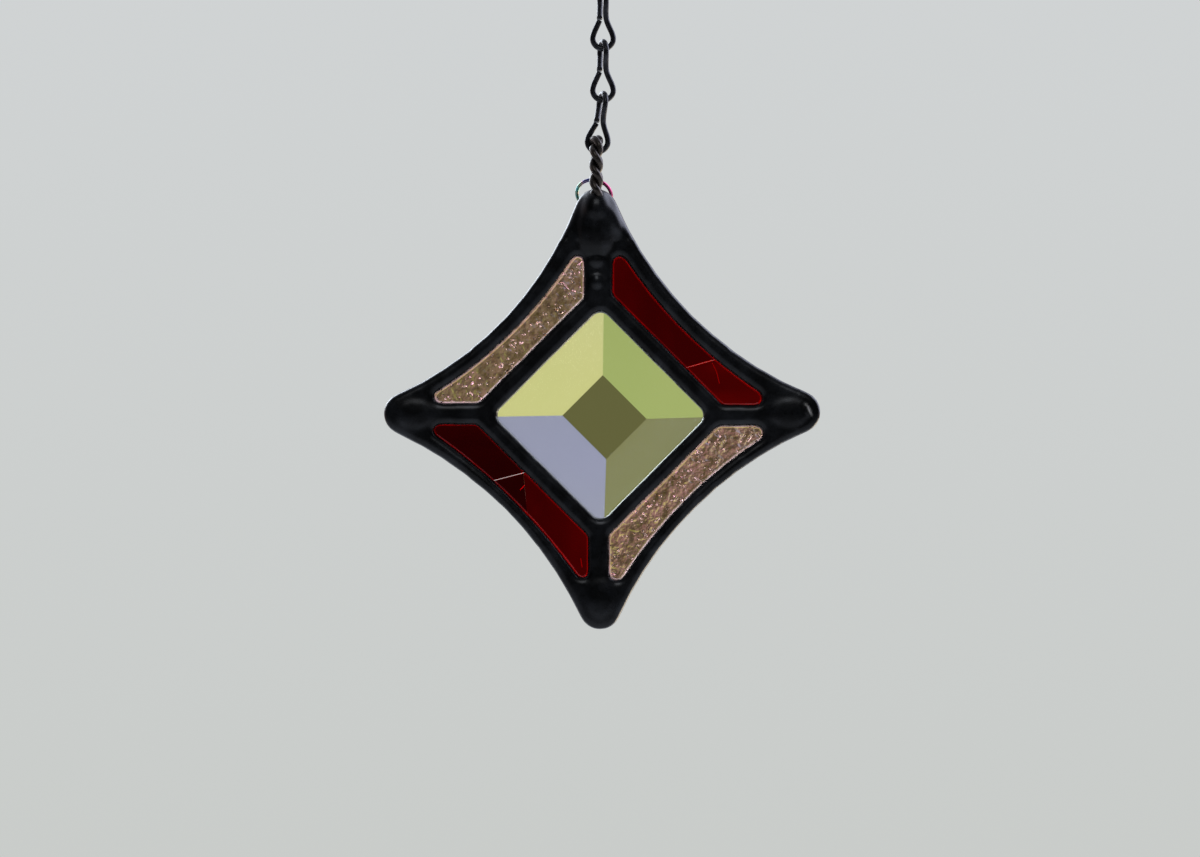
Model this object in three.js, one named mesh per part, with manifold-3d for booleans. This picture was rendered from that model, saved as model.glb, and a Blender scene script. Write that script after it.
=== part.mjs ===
/**
 * A stained glass suncatcher, made in the copper foil way: a clear bevelled square and four
 * narrow strips of glass, each edged with foil and soldered into one black net with four
 * rounded points. A hairpin of twisted wire straddles the top point, a thin ring is threaded
 * round its back leg, and three figure-eight chain links carry it.
 *
 * Units are millimetres. In the finished object +Z is up and the front faces -Y. The origin is
 * where a hook carries the chain, under the top of the highest link's upper eye.
 *
 * The panel is drawn lying in its own plane, x to the right, y up and z towards the viewer,
 * with its own centre in the middle of the square window. A turned group stands it upright.
 */
import * as THREE from 'three';
import { mergeVertices } from 'three/addons/utils/BufferGeometryUtils.js';
import Module from 'manifold-3d';

const wasm = await Module();
wasm.setup();

// ---- Driving dimensions ---------------------------------------------------------------

// Room left between separate pieces that touch in the real thing.
const GAP = 0.25;

// The four rounded points of the outline, counter-clockwise from the right one: the centre
// of each round, and how far the middle of the hollow side after it stands from the centre.
const POINT_RADIUS = 4.9;
const POINTS = [
  { centre: new THREE.Vector2(46.6, 0.8), reach: 31.8 },
  { centre: new THREE.Vector2(-1.0, 48.3), reach: 32.0 },
  { centre: new THREE.Vector2(-45.9, 0.4), reach: 31.3 },
  { centre: new THREE.Vector2(-0.1, -45.3), reach: 31 },
];
const TOP_POINT = POINTS[1].centre;

// The solder bead: its half thickness at the crest and where it meets glass, and its round.
const BEAD_HALF = 3.0;
const LIP_HALF = 2.0;
const BEAD_ROUND = 1.3;
// The solder is heaped up on the points.
const DOME_HALF = 3.6;
const DOME_LENGTH = 10;
const DOME_WIDTH = 7;
const DOME_SET_BACK = 2.5;

// The square window and the bevelled glass in it.
const WINDOW_HALF = 17.85;
const WINDOW_ROUND = 2.2;
const BEVEL_SIDE = 38.1;
const BEVEL_FLAT_SIDE = 13.9;
const BEVEL_EDGE_THICK = 2.2;
const BEVEL_THICK = 5;
const BEVEL_SHIFT = new THREE.Vector2(0.8, -0.3);

// The strips: sheet thickness and how far the foil covers each edge.
const SHEET_HALF = 1.5;
const FOIL_COVER = 1.2;
// Each strip's quarter of the panel, and its window: how far it stays from the upright and
// the level centre line, how far its straight inner edge and the middle of its hollow outer
// edge stand from the centre, the radius of that hollow, and its corner round.
const STRIPS = {
  clear_strip_upper_left:
    { quarter: [-1, 1], upright: 3.9, level: 2.9, inner: 22.3, outer: 28.4, hollow: 105, round: 1.4 },
  red_strip_upper_right:
    { quarter: [1, 1], upright: 2.9, level: 2.5, inner: 22.1, outer: 27.9, hollow: 112, round: 1.6 },
  red_strip_lower_left:
    { quarter: [-1, -1], upright: 2.9, level: 2.1, inner: 22.0, outer: 28.4, hollow: 140, round: 1.3 },
  clear_strip_lower_right:
    { quarter: [1, -1], upright: 2.0, level: 2.4, inner: 21.3, outer: 28.0, hollow: 110, round: 1.7 },
};

// The hairpin of two twisted strands that straddles the top point.
const STRAND_DIAMETER = 1.65;
const TWIST_LAY = 7.5;
const HAIRPIN_REACH = 3.6;
const HAIRPIN_TOP = 64.5;
const HAIRPIN_FOOT = 49.2;

// The thin ring round the hairpin's back leg.
const RING_RADIUS = 4.1;
const RING_WIRE = 0.85;
const RING_CENTRE = new THREE.Vector3(-1.5, 52.1, -3.6);
const RING_LEAN = THREE.MathUtils.degToRad(38);
const RING_ROLL = THREE.MathUtils.degToRad(-15);

// A chain link: one wire bent to two eyes, the upper one turned across the lower one.
const LINK_WIRE = 1.35;
const LINK_LENGTH = 15.05;
const LINK_WIDTH = 6.15;
const WAIST_HALF = 0.8;
const CUT_GAP = 0.45;
const EYE_TURN = THREE.MathUtils.degToRad(72);
const LINK_GAP = 0.25;

// The panel hangs a little to the left of the chain.
const PANEL_X = -0.6;

// ---- Materials ------------------------------------------------------------------------

const finish = (color, roughness, metalness, extra = {}) =>
  new THREE.MeshStandardMaterial({ color, roughness, metalness, ...extra });

const blackSolder = finish(0x16171a, 0.38, 0.8);
const blackWire = finish(0x101114, 0.42, 0.8);
const bronzeWire = finish(0x2b2620, 0.45, 0.8);
const heatTintedWire = finish(0x3d4a55, 0.25, 1);
const clearGlass = finish(0xdfe8dc, 0.02, 0, { transparent: true, opacity: 0.3 });
const seedyGlass = finish(0xb79f92, 0.15, 0, { transparent: true, opacity: 0.55 });
const rubyGlass = finish(0x7a0306, 0.05, 0, { transparent: true, opacity: 0.8 });

// ---- Helpers --------------------------------------------------------------------------

/** A solid that can be joined and cut, from a closed geometry. */
function solidOf(geometry) {
  const bare = geometry.clone();
  bare.deleteAttribute('normal');
  bare.deleteAttribute('uv');
  const merged = mergeVertices(bare, 1e-4);
  return new wasm.Manifold(new wasm.Mesh({
    numProp: 3,
    vertProperties: merged.attributes.position.array,
    triVerts: Uint32Array.from(merged.index.array),
  }));
}

/** A geometry from a joined or cut solid. */
function geometryOf(solid) {
  const { vertProperties, triVerts } = solid.getMesh();
  const geometry = new THREE.BufferGeometry();
  geometry.setAttribute('position', new THREE.BufferAttribute(vertProperties, 3));
  geometry.setIndex(new THREE.BufferAttribute(triVerts, 1));
  geometry.computeVertexNormals();
  return geometry;
}

/** Points on an arc from one angle to another, both ends included. */
function arc(centre, radius, from, to, steps) {
  return Array.from({ length: steps + 1 }, (_, i) => {
    const angle = THREE.MathUtils.lerp(from, to, i / steps);
    return new THREE.Vector2(radius, 0).rotateAround(new THREE.Vector2(), angle).add(centre);
  });
}

/** The angle that is within half a turn of a reference angle. */
function near(angle, reference) {
  return reference + THREE.MathUtils.euclideanModulo(angle - reference + Math.PI, 2 * Math.PI) - Math.PI;
}

const angleTo = (from, to) => Math.atan2(to.y - from.y, to.x - from.x);

function named(name, geometry, material) {
  const mesh = new THREE.Mesh(geometry, material);
  mesh.name = name;
  return mesh;
}

/** A round wire of a few flat sides, swept along a curve. */
function wire(path, diameter, steps) {
  const section = arc(new THREE.Vector2(), diameter / 2, 0, 2 * Math.PI, 8).slice(0, -1);
  return new THREE.ExtrudeGeometry(new THREE.Shape(section), { steps, extrudePath: path });
}

// ---- Outline and windows --------------------------------------------------------------

/** The hollow arc that touches two neighbouring points: its centre outside, and its radius. */
function sideArc(a, b, sideReach) {
  const middle = a.clone().lerp(b, 0.5);
  const along = b.clone().sub(a).normalize();
  const outward = new THREE.Vector2(along.y, -along.x);
  const sag = sideReach - middle.dot(outward);
  const reach = sag - POINT_RADIUS;
  const away = (reach ** 2 - (a.distanceTo(b) / 2) ** 2) / (2 * reach);
  return { centre: middle.addScaledVector(outward, away), radius: away - sag };
}

const nextTo = (i, step) => (i + POINTS.length + step) % POINTS.length;
const sides = POINTS.map(({ centre, reach }, i) => sideArc(centre, POINTS[nextTo(i, 1)].centre, reach));

/** The outline, counter-clockwise: round each point, then along the hollow side after it. */
function outline() {
  return POINTS.flatMap(({ centre: point }, i) => {
    const before = sides[nextTo(i, -1)];
    const after = sides[i];
    const next = POINTS[nextTo(i, 1)].centre;
    const from = angleTo(point, before.centre);
    const to = from + THREE.MathUtils.euclideanModulo(angleTo(point, after.centre) - from, 2 * Math.PI);
    const start = angleTo(after.centre, point);
    const round = arc(point, POINT_RADIUS, from, to, 8);
    const hollow = arc(after.centre, after.radius, start, near(angleTo(after.centre, next), start), 10);
    return [...round.slice(0, -1), ...hollow.slice(0, -1)];
  });
}

/** The square window, standing on a corner, with rounded corners. */
function squareWindow() {
  const corner = (WINDOW_HALF - WINDOW_ROUND) * Math.SQRT2;
  return [0, 1, 2, 3].flatMap((i) => {
    const heading = (i * Math.PI) / 2;
    const centre = new THREE.Vector2(corner, 0).rotateAround(new THREE.Vector2(), heading);
    return arc(centre, WINDOW_ROUND, heading - Math.PI / 4, heading + Math.PI / 4, 3);
  });
}

/** A strip's window, or its glass when grown by the width that the foil covers. */
function stripShape(strip, grow) {
  const { quarter: [mirrorX, mirrorY], upright, level, inner, outer, hollow, round } = strip;
  const centre = new THREE.Vector2(1, 1).setLength(outer + hollow);
  // The corner rounds have their centres one round inside the four edges.
  const x = upright + round;
  const y = level + round;
  const slant = (inner + round) * Math.SQRT2;
  const reach = hollow + round;
  const outerAt = (offset) => Math.sqrt(reach ** 2 - offset ** 2);
  const upper = new THREE.Vector2(x, centre.y - outerAt(centre.x - x));
  const far = new THREE.Vector2(centre.x - outerAt(centre.y - y), y);
  const radius = round + grow;
  const outline = [
    ...arc(new THREE.Vector2(x, slant - x), radius, -Math.PI, -Math.PI * 0.75, 2),
    ...arc(new THREE.Vector2(slant - y, y), radius, -Math.PI * 0.75, -Math.PI / 2, 2),
    ...arc(far, radius, -Math.PI / 2, angleTo(far, centre), 4),
    ...arc(centre, reach - radius, angleTo(centre, far), angleTo(centre, upper), 9).slice(1, -1),
    ...arc(upper, radius, angleTo(upper, centre), Math.PI, 4),
  ];
  const placed = outline.map((point) => new THREE.Vector2(point.x * mirrorX, point.y * mirrorY));
  return mirrorX * mirrorY > 0 ? placed : placed.reverse();
}

// ---- The panel's pieces ---------------------------------------------------------------

/** A plate of even thickness about the panel's middle plane. */
function plate(points2d, half) {
  return new THREE.ExtrudeGeometry(new THREE.Shape(points2d), { depth: 2 * half, bevelEnabled: false })
    .translate(0, 0, -half);
}

/** The bevelled square, standing on a corner: a slab whose front slopes up to a small flat. */
function bevelledSquare(grow = 0) {
  const corner = BEVEL_SIDE / Math.SQRT2 + grow * Math.SQRT2;
  const flatCorner = BEVEL_FLAT_SIDE / Math.SQRT2 + grow;
  const profile = [
    [0, -grow],
    [corner, -grow],
    [corner, BEVEL_EDGE_THICK + grow],
    [flatCorner, BEVEL_THICK + grow],
    [0, BEVEL_THICK + grow],
  ].map(([r, height]) => new THREE.Vector2(r, height));
  return new THREE.LatheGeometry(profile, 4)
    .rotateX(Math.PI / 2)
    .translate(BEVEL_SHIFT.x, BEVEL_SHIFT.y, -SHEET_HALF);
}

/** The mound of solder on one point, kept inside the outline. */
function dome(point) {
  const heading = angleTo(new THREE.Vector2(), point);
  const middle = point.clone().setLength(point.length() - DOME_SET_BACK);
  const mound = new THREE.SphereGeometry(1, 14, 8)
    .rotateX(Math.PI / 2)
    .scale(DOME_LENGTH, DOME_WIDTH, DOME_HALF)
    .rotateZ(heading)
    .translate(middle.x, middle.y, 0);
  return solidOf(mound);
}

/** The soldered net: beaded lines round five windows, heaped points, and slots for the glass. */
function solderNet() {
  const shape = new THREE.Shape(outline());
  const windows = [squareWindow(), ...Object.values(STRIPS).map((strip) => stripShape(strip, 0))];
  shape.holes = windows.map((window) => new THREE.Path(window));
  const beads = new THREE.ExtrudeGeometry(shape, {
    depth: 2 * LIP_HALF,
    bevelThickness: BEAD_HALF - LIP_HALF,
    bevelSize: BEAD_ROUND,
    bevelOffset: -BEAD_ROUND,
    bevelSegments: 2,
  }).translate(0, 0, -LIP_HALF);
  const within = solidOf(plate(outline(), DOME_HALF));
  const openings = windows.map((window) => solidOf(plate(window, 2 * DOME_HALF)));
  const glassRoom = [
    solidOf(bevelledSquare(GAP)),
    ...Object.values(STRIPS).map((strip) =>
      solidOf(plate(stripShape(strip, FOIL_COVER + GAP), SHEET_HALF + GAP))),
  ];
  const legRoom = [HAIRPIN_REACH, -HAIRPIN_REACH].map((reach) => solidOf(
    new THREE.CylinderGeometry(STRAND_DIAMETER + GAP, STRAND_DIAMETER + GAP, 20, 12)
      .translate(TOP_POINT.x, HAIRPIN_FOOT - STRAND_DIAMETER / 2 + 10, reach)));
  const heaps = POINTS.map(({ centre }) => dome(centre))
    .reduce((all, heap) => all.add(heap))
    .intersect(within);
  const whole = openings.reduce((rest, opening) => rest.subtract(opening), heaps)
    .add(solidOf(beads));
  return geometryOf([...glassRoom, ...legRoom].reduce((rest, room) => rest.subtract(room), whole));
}

/** One of the two strands, winding round the hairpin's centre line to the left. */
class Strand extends THREE.Curve {
  constructor(startAngle) {
    super();
    this.startAngle = startAngle;
    this.leg = HAIRPIN_TOP - HAIRPIN_REACH - HAIRPIN_FOOT;
    this.bend = Math.PI * HAIRPIN_REACH;
    this.whole = 2 * this.leg + this.bend;
  }

  getPoint(t) {
    const gone = t * this.whole;
    const turn = THREE.MathUtils.clamp((gone - this.leg) / this.bend, 0, 1) * Math.PI;
    const rise = Math.min(gone, this.leg) - Math.max(0, gone - this.leg - this.bend);
    const outward = new THREE.Vector3(0, Math.sin(turn), Math.cos(turn));
    const centre = new THREE.Vector3(TOP_POINT.x, HAIRPIN_FOOT + rise, 0)
      .addScaledVector(outward, HAIRPIN_REACH);
    const angle = this.startAngle - (2 * Math.PI * gone) / TWIST_LAY;
    // The strands are pressed together by a hundredth, so that they are one piece.
    const apart = STRAND_DIAMETER * 0.49;
    return centre
      .addScaledVector(outward, apart * Math.cos(angle))
      .add(new THREE.Vector3(apart * Math.sin(angle), 0, 0));
  }
}

function hairpin() {
  const strands = [0, Math.PI].map((start) => solidOf(wire(new Strand(start), STRAND_DIAMETER, 40)));
  return geometryOf(strands[0].add(strands[1]));
}

function buildPanel() {
  const panel = new THREE.Group();
  panel.add(named('solder_net', solderNet(), blackSolder));
  panel.add(named('bevelled_square', bevelledSquare(), clearGlass));
  for (const [name, strip] of Object.entries(STRIPS)) {
    const material = name.startsWith('red') ? rubyGlass : seedyGlass;
    panel.add(named(name, plate(stripShape(strip, FOIL_COVER), SHEET_HALF), material));
  }
  panel.add(named('twisted_hairpin', hairpin(), bronzeWire));
  const ringWire = new THREE.TorusGeometry(RING_RADIUS, RING_WIRE / 2, 6, 28);
  const ring = named('thin_ring', ringWire, heatTintedWire);
  ring.position.copy(RING_CENTRE);
  ring.rotation.set(RING_LEAN, 0, RING_ROLL, 'ZXY');
  panel.add(ring);
  return panel;
}

// ---- The chain ------------------------------------------------------------------------

const EYE_RADIUS = (LINK_WIDTH - LINK_WIRE) / 2;
const EYE_CENTRE = (LINK_LENGTH - LINK_WIDTH) / 2;
const LINK_END = EYE_CENTRE + EYE_RADIUS;

/** A link's wire: from the cut round the lower eye, up past the waist and round the upper. */
function linkPath() {
  // An eye runs from one flank over its end to the other, a little over half a turn. Both cut
  // ends face each other on the left.
  const flank = THREE.MathUtils.degToRad(108);
  const eye = (direction, turn) => Array.from({ length: 9 }, (_, i) => {
    const angle = direction * THREE.MathUtils.lerp(flank, -flank, i / 8);
    return new THREE.Vector3(EYE_RADIUS * Math.sin(angle), 0,
      direction * (EYE_CENTRE + EYE_RADIUS * Math.cos(angle)))
      .applyAxisAngle(new THREE.Vector3(0, 0, 1), turn);
  });
  return new THREE.CatmullRomCurve3([
    new THREE.Vector3(-WAIST_HALF, 0, -CUT_GAP / 2),
    ...eye(-1, 0),
    new THREE.Vector3(WAIST_HALF, -WAIST_HALF / 3, 0),
    ...eye(1, -EYE_TURN),
    new THREE.Vector3(-WAIST_HALF, WAIST_HALF / 2, CUT_GAP / 2),
  ], false, 'centripetal');
}

const LINK_STEP = 2 * LINK_END - LINK_WIRE - LINK_GAP;

/** Three alike links, one below the other. The lowest leans towards the hairpin. */
function buildChain(hairpinX) {
  const chain = new THREE.Group();
  const highest = LINK_WIRE / 2 - LINK_END;
  const lean = Math.asin(-hairpinX / (2 * LINK_END - LINK_WIRE));
  ['upper_link', 'middle_link', 'lower_link'].forEach((name, i) => {
    const link = named(name, wire(linkPath(), LINK_WIRE, 36), blackWire);
    link.position.z = highest - i * LINK_STEP;
    chain.add(link);
  });
  const lowest = chain.children.at(-1);
  lowest.rotation.y = lean;
  lowest.position.x = -Math.sin(lean) * (LINK_END - LINK_WIRE / 2);
  return chain;
}

// ---- The whole object -----------------------------------------------------------------

const suncatcher = new THREE.Group();
const panel = buildPanel();
const chain = buildChain(PANEL_X + TOP_POINT.x);
const lowestEye = chain.children.at(-1).position.z - LINK_END;
// The hairpin's bend rests on the lowest eye's wire.
const bendUnderside = HAIRPIN_TOP - STRAND_DIAMETER;
panel.rotation.x = Math.PI / 2;
panel.position.set(PANEL_X, 0, lowestEye + LINK_WIRE / 2 + LINK_GAP - bendUnderside);
suncatcher.add(panel, chain);

export default suncatcher;
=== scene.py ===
"""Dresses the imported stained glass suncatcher: a copper-foiled and soldered panel of a clear
bevelled square and four glass strips, hung by a twisted wire hairpin and a short jack chain.
"""
import math
import random

import bpy
from bpy.props import FloatProperty, FloatVectorProperty, IntProperty, PointerProperty
from bpy.types import Operator, Panel, PropertyGroup
from mathutils import Matrix, Vector


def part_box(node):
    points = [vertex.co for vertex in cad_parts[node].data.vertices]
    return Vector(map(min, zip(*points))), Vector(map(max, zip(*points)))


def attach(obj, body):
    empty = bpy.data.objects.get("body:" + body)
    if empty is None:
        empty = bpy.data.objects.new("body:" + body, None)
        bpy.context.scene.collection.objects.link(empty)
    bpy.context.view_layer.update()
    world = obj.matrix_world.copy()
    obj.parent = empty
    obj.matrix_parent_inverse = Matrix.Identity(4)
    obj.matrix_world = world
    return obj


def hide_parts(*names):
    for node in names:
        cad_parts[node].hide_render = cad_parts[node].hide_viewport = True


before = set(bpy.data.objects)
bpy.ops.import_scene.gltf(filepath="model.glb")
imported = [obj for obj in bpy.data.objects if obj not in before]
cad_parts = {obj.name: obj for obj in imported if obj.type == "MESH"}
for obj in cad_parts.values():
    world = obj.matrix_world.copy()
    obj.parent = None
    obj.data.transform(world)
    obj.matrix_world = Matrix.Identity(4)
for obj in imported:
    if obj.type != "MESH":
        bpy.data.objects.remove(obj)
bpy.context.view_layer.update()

bl_info = {
    "name": "Stained Glass Suncatcher",
    "version": (1, 0, 0),
    "blender": (4, 5, 0),
    "location": "View3D > Sidebar > Suncatcher",
    "description": "Dresses a copper-foiled glass suncatcher with its solder, glass and wire",
    "category": "Object",
}

MM = 0.001
CLEAR_STRIPS = ("clear_strip_upper_left", "clear_strip_lower_right")
RED_STRIPS = ("red_strip_upper_right", "red_strip_lower_left")
STRIPS = CLEAR_STRIPS + RED_STRIPS
LINKS = ("upper_link", "middle_link", "lower_link")

# The panel's own centre is the middle of the square window, which the bevelled square's box
# misses by a little, because the glass sits unevenly in its foil.
BEVEL_SHIFT = Vector((0.8, 0, -0.3)) * MM
SHEET_HALF = 1.5 * MM
# How far the foil covers a strip's glass, and how far the solder's lips in front and behind do.
FOIL_COVER = 1.2 * MM
FRONT_LIP = FOIL_COVER + 0.1 * MM
BACK_LIP = FOIL_COVER + 0.15 * MM
# The sloped edge of a strip: its width in sight, what lies bare under the foil's lip, and how far
# it falls on the front and on the back.
EDGE_WIDTH = 0.36 * MM
EDGE_BARE = 0.1 * MM
FRONT_FALL = 0.065 * MM
BACK_FALL = 0.24 * MM
# Solder fills each glass slot to this far beyond the glass before the windows are cut.
SLOT_OVERLAP = 0.45 * MM
# How far the cutters of the strips' windows reach in front and behind.
CUT_REACH = 9 * MM
# The square window: half its side, and the bevel that rounds its corners.
WINDOW_HALF = 17.75 * MM
WINDOW_CORNER = 2.4 * MM
# The hairpin straddles the top point: each leg's distance from the panel's middle, and how high
# above the panel's centre its bend and its feet are.
HAIRPIN_REACH = 3.6 * MM
HAIRPIN_TOP = 64.5 * MM
HAIRPIN_FOOT = 49.2 * MM
# The thin ring: its place from the panel's centre and its radius, both in millimetres, how far its
# top leans forward, and its roll.
RING_CENTRE = (-1.5, 52.1, -3.6)
RING_RADIUS = 4.1
RING_LEAN = math.radians(38)
RING_ROLL = math.radians(-15)
# Its heat tints, roughly from left to right: where each is, and its colour.
HEAT_TINTS = ((0.25, "#3d8f92"), (0.4, "#7f9a80"), (0.52, "#b08a8c"),
              (0.64, "#4a5a9a"), (0.8, "#7a3a90"), (0.95, "#a8466c"))
# A chain link, its waist and the gap between its cut ends.
LINK_LENGTH = 15.05 * MM
LINK_WIDTH = 6.15 * MM
WAIST_HALF = 0.8 * MM
CUT_GAP = 0.45 * MM
# How far round an eye is bent to either side of its end, and the upper eye's turn from the lower.
EYE_BEND = math.radians(108)
EYE_TURN = math.radians(-72)
# The room between two links, and how far the lowest one's foot swings aside to the hairpin.
LINK_ROOM = 0.25 * MM
LOWEST_SWING = 1.6 * MM
# The left, right and bottom points are heaped from this far out from the panel's centre and below
# this height, but for the right one's scarred rim, which begins this far right.
HEAP_REACH = 34 * MM
HEAP_CEILING = 20 * MM
RIM_START = 46.5 * MM
# The top point's heap begins at this height.
TOP_HEAP_START = 41 * MM
# The painted highlight on the right point, a pale oval standing in for the glint on its
# scar: its place from the panel's centre in millimetres, its half width and half length, and its
# slant.
GLINT_PLACE = (48.9, 1.3)
GLINT_HALF = (0.25 * MM, 1.1 * MM)
GLINT_SLANT = math.radians(25)
# The bevelled square's flat: how far right and up it sits from the glass's middle, and the share
# of its side by which it is longer one way.
FLAT_SHIFT = (0.15 * MM, -0.1 * MM)
FLAT_STRETCH = 0.04


def box_centre(node):
    low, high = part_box(node)
    return (Vector(low) + Vector(high)) / 2


PANEL = box_centre("bevelled_square") - BEVEL_SHIFT
PANEL.y = 0


def on_panel(x, up, front=0.0):
    """A point given in millimetres from the panel's centre: right, up and towards the viewer."""
    return PANEL + Vector((x, -front, up)) * MM


def linear(colour, alpha=1.0):
    """An sRGB hex colour as linear red, green, blue and alpha."""
    channels = [int(colour[i:i + 2], 16) / 255 for i in (1, 3, 5)]
    lit = [c / 12.92 if c <= 0.04045 else ((c + 0.055) / 1.055) ** 2.4 for c in channels]
    return (*lit, alpha)


# ---- Modelling helpers ------------------------------------------------------------------


def only(piece):
    """Makes one object the selected and active one."""
    bpy.ops.object.select_all(action="DESELECT")
    piece.select_set(True)
    bpy.context.view_layer.objects.active = piece
    return piece


def edit(piece, *steps):
    """Runs edit mode operators on one object with everything in it selected."""
    only(piece)
    bpy.ops.object.mode_set(mode="EDIT")
    bpy.ops.mesh.select_all(action="SELECT")
    for step in steps:
        step()
    bpy.ops.object.mode_set(mode="OBJECT")
    return piece


def select_faces(piece, test):
    """Selects, in edit mode, the faces that pass a test of their centre and normal."""
    bpy.ops.mesh.select_mode(type="FACE")
    bpy.ops.mesh.select_all(action="DESELECT")
    bpy.ops.object.mode_set(mode="OBJECT")
    for face in piece.data.polygons:
        face.select = test(face.center, face.normal)
    bpy.ops.object.mode_set(mode="EDIT")


def copy_of(node, name):
    """A separate copy of a CAD node with its loose triangles merged."""
    piece = bpy.data.objects.new(name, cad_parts[node].data.copy())
    bpy.context.scene.collection.objects.link(piece)
    return edit(piece, lambda: bpy.ops.mesh.remove_doubles(threshold=1e-6))


def new_primitive(name, add, **settings):
    bpy.ops.object.select_all(action="DESELECT")
    add(**settings)
    piece = bpy.context.object
    piece.name = name
    return piece


def settle(piece):
    """Puts an object's place, turn and scale into its mesh."""
    only(piece)
    bpy.ops.object.transform_apply(location=True, rotation=True, scale=True)
    return piece


def modify(piece, kind, **settings):
    """Adds a modifier and applies it."""
    only(piece)
    modifier = piece.modifiers.new(kind.title(), kind)
    for key, value in settings.items():
        setattr(modifier, key, value)
    bpy.ops.object.modifier_apply(modifier=modifier.name)
    return piece


def combine(piece, tool, operation):
    """Joins or cuts with another solid, which is used up."""
    modify(piece, "BOOLEAN", operation=operation, object=tool, solver="EXACT")
    bpy.data.objects.remove(tool)
    return piece


def join(pieces, name):
    only(pieces[0])
    for piece in pieces:
        piece.select_set(True)
    bpy.ops.object.join()
    pieces[0].name = name
    return pieces[0]


def smooth(piece):
    only(piece)
    bpy.ops.object.shade_smooth()
    return piece


def ripple(piece, size, height, direction="NORMAL", group=""):
    """Pushes the surface in and out by a procedural texture of a real size."""
    pattern = bpy.data.textures.new("ripple", "CLOUDS")
    pattern.noise_scale = size
    modify(piece, "DISPLACE", texture=pattern, texture_coords="LOCAL", strength=height,
           mid_level=0.5, direction=direction, vertex_group=group)
    bpy.data.textures.remove(pattern)
    return piece


def tube(name, points, radius, sides, closed=False):
    """A round wire along a route, as a mesh."""
    route = bpy.data.curves.new(name, "CURVE")
    route.dimensions = "3D"
    route.bevel_depth = radius
    route.bevel_resolution = sides // 2 - 2
    route.use_fill_caps = not closed
    route.twist_mode = "MINIMUM"
    spline = route.splines.new("POLY")
    spline.points.add(len(points) - 1)
    spline.use_cyclic_u = closed
    for target, point in zip(spline.points, points):
        target.co = (*point, 1)
    piece = bpy.data.objects.new(name, route)
    bpy.context.scene.collection.objects.link(piece)
    only(piece)
    bpy.ops.object.convert(target="MESH")
    return edit(bpy.context.object,
                lambda: bpy.ops.mesh.remove_doubles(threshold=1e-7),
                lambda: bpy.ops.mesh.normals_make_consistent(inside=False))


def finish_piece(piece, material, replaced):
    """Gives a finished piece its material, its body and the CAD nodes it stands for."""
    piece.data.materials.clear()
    piece.data.materials.append(material)
    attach(piece, "root")
    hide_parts(*replaced)


# ---- Material helpers -------------------------------------------------------------------

# A Mix node has sockets of the same names for each kind of value. These are its colours' own.
COLOUR_A, COLOUR_B, BLENDED = 6, 7, 2


def add_node(tree, kind, inputs=None, stops=(), **settings):
    """Adds a node and sets its properties and inputs. What `inputs` holds is another node's
    output, which is linked, or a value, and a colour ramp's stops run from left to right."""
    node = tree.nodes.new(kind)
    for key, value in settings.items():
        if hasattr(node, key):
            setattr(node, key, value)
        else:
            node.inputs[key.replace("_", " ")].default_value = value
    for key, source in (inputs or {}).items():
        if isinstance(source, bpy.types.NodeSocket):
            tree.links.new(source, node.inputs[key])
        else:
            node.inputs[key].default_value = source
    if stops:
        ramp = node.color_ramp.elements
        for position, colour in stops[1:-1]:
            ramp.new(position)
        for stop, (position, colour) in zip(ramp, stops):
            stop.position = position
            stop.color = colour
    return node


def new_material(name, **settings):
    """A material with one Principled shader. Returns it with its tree and that shader."""
    material = bpy.data.materials.new(name)
    material.use_nodes = True
    tree = material.node_tree
    tree.nodes.clear()
    shader = add_node(tree, "ShaderNodeBsdfPrincipled", **settings)
    add_node(tree, "ShaderNodeOutputMaterial", {"Surface": shader.outputs[0]})
    return material, tree, shader


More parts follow.
